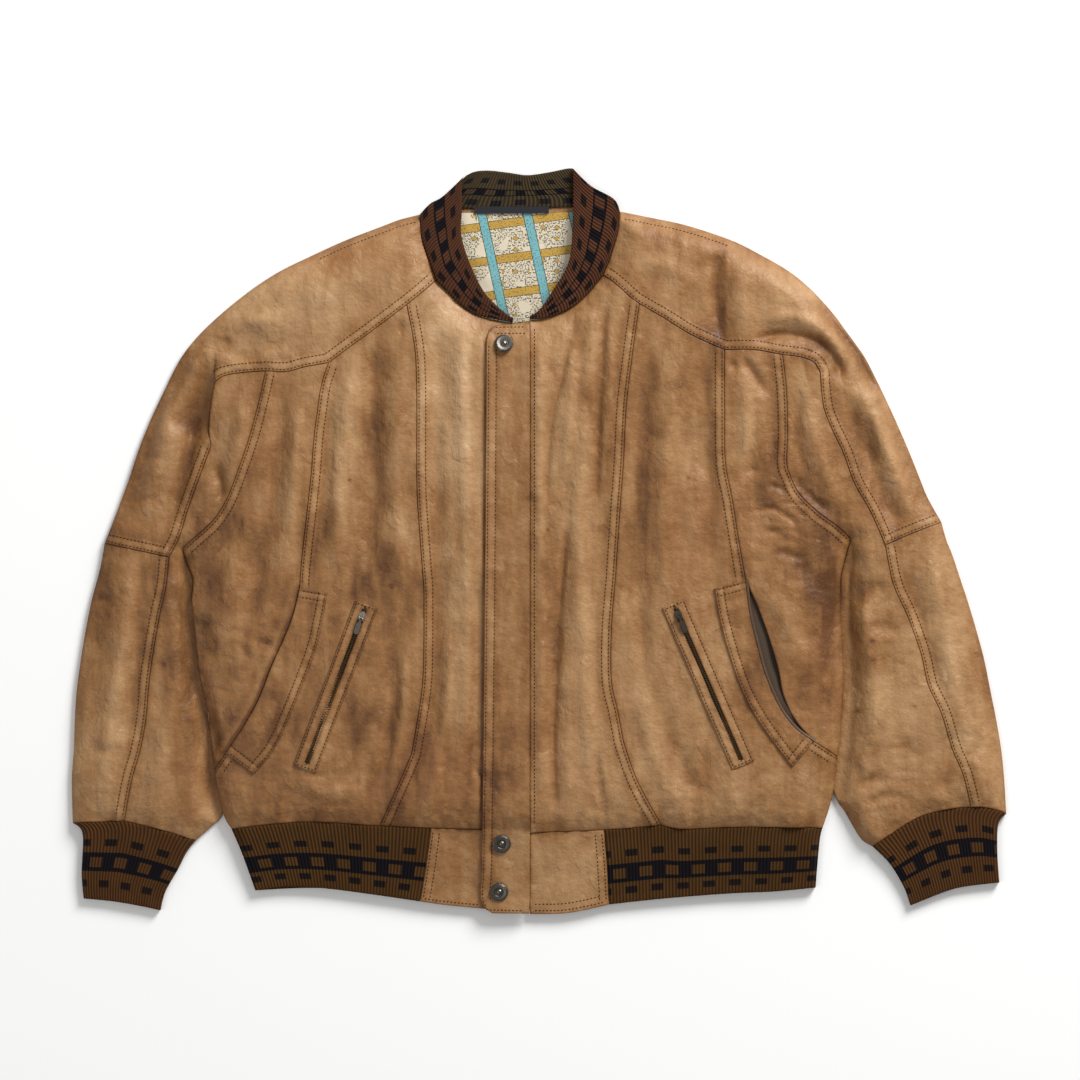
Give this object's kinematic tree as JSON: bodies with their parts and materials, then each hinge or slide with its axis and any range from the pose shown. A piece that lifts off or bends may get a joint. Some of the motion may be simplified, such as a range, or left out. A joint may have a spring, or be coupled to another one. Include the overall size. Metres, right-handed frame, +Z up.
{
  "type": "leather jacket",
  "caption": "Worn tan leather blouson with knitted collar, cuffs and hem, snap placket, slanted zip pockets and curved hand pockets, laid flat with its front up.",
  "frame": {"origin": "middle of the laid jacket, on the surface that it lies on", "axes": "+X towards the wearer's left sleeve, +Y towards the collar, +Z up out of the front"},
  "size_m": [0.8794, 0.7014, 0.0305],
  "materials": {
    "leather": "waxed, worn and creased",
    "back_leather": "waxed, worn and creased",
    "knit": "rib knit with a woven-in pattern of dashes",
    "knit_inside": "rib knit, reverse side",
    "printed_lining": "printed plain weave",
    "black_tape": "woven tape",
    "pocket_cloth": "plain weave",
    "zip_metal": "darkened",
    "dark_metal": "gunmetal plated"
  },
  "bodies": {
    "jacket": {"right_front_center": "leather", "left_front_center": "leather", "right_front_mid": "leather", "left_front_mid": "leather", "right_front_side": "leather", "left_front_side": "leather", "right_yoke": "leather", "right_sleeve_top": "leather", "right_sleeve_under": "leather", "right_sleeve_lower": "leather", "left_sleeve_top": "leather", "left_sleeve_under": "leather", "left_sleeve_lower": "leather", "right_hem_tab": "leather", "left_hem_tab": "leather", "fly_placket": "leather", "right_pocket_welt": "leather", "left_pocket_welt": "leather", "right_zip_welt_outer": "leather", "right_zip_welt_inner": "leather", "left_zip_welt_outer": "leather", "left_zip_welt_inner": "leather", "back_body": "back_leather", "right_sleeve_back": "back_leather", "left_sleeve_back": "back_leather", "right_hem_rib": "knit", "left_hem_rib": "knit", "right_cuff": "knit", "left_cuff": "knit", "right_collar_front": "knit", "left_collar_front": "knit", "hem_rib_back": "knit_inside", "right_cuff_back": "knit_inside", "left_cuff_back": "knit_inside", "collar_back": "knit_inside", "back_lining": "printed_lining", "neck_tape": "black_tape", "left_pocket_bag": "pocket_cloth", "right_zip_chain": "zip_metal", "right_zip_slider": "dark_metal", "left_zip_chain": "zip_metal", "left_zip_slider": "dark_metal", "snap_top": "dark_metal", "snap_hem_upper": "dark_metal", "snap_hem_lower": "dark_metal"},
    "right_pull": {"right_zip_pull": "dark_metal"},
    "left_pull": {"left_zip_pull": "dark_metal"}
  },
  "joints": [
    {"name": "right_pull_swing", "type": "hinge", "parent": "jacket", "child": "right_pull", "pos_m": [-0.1667, -0.07207, 0.02891], "axis": [-0.9361, 0.3517, 0], "range_deg": [0, 150]},
    {"name": "left_pull_swing", "type": "hinge", "parent": "jacket", "child": "left_pull", "pos_m": [0.13142, -0.07088, 0.02892], "axis": [-0.918, -0.3967, 0], "range_deg": [0, 150]}
  ]
}
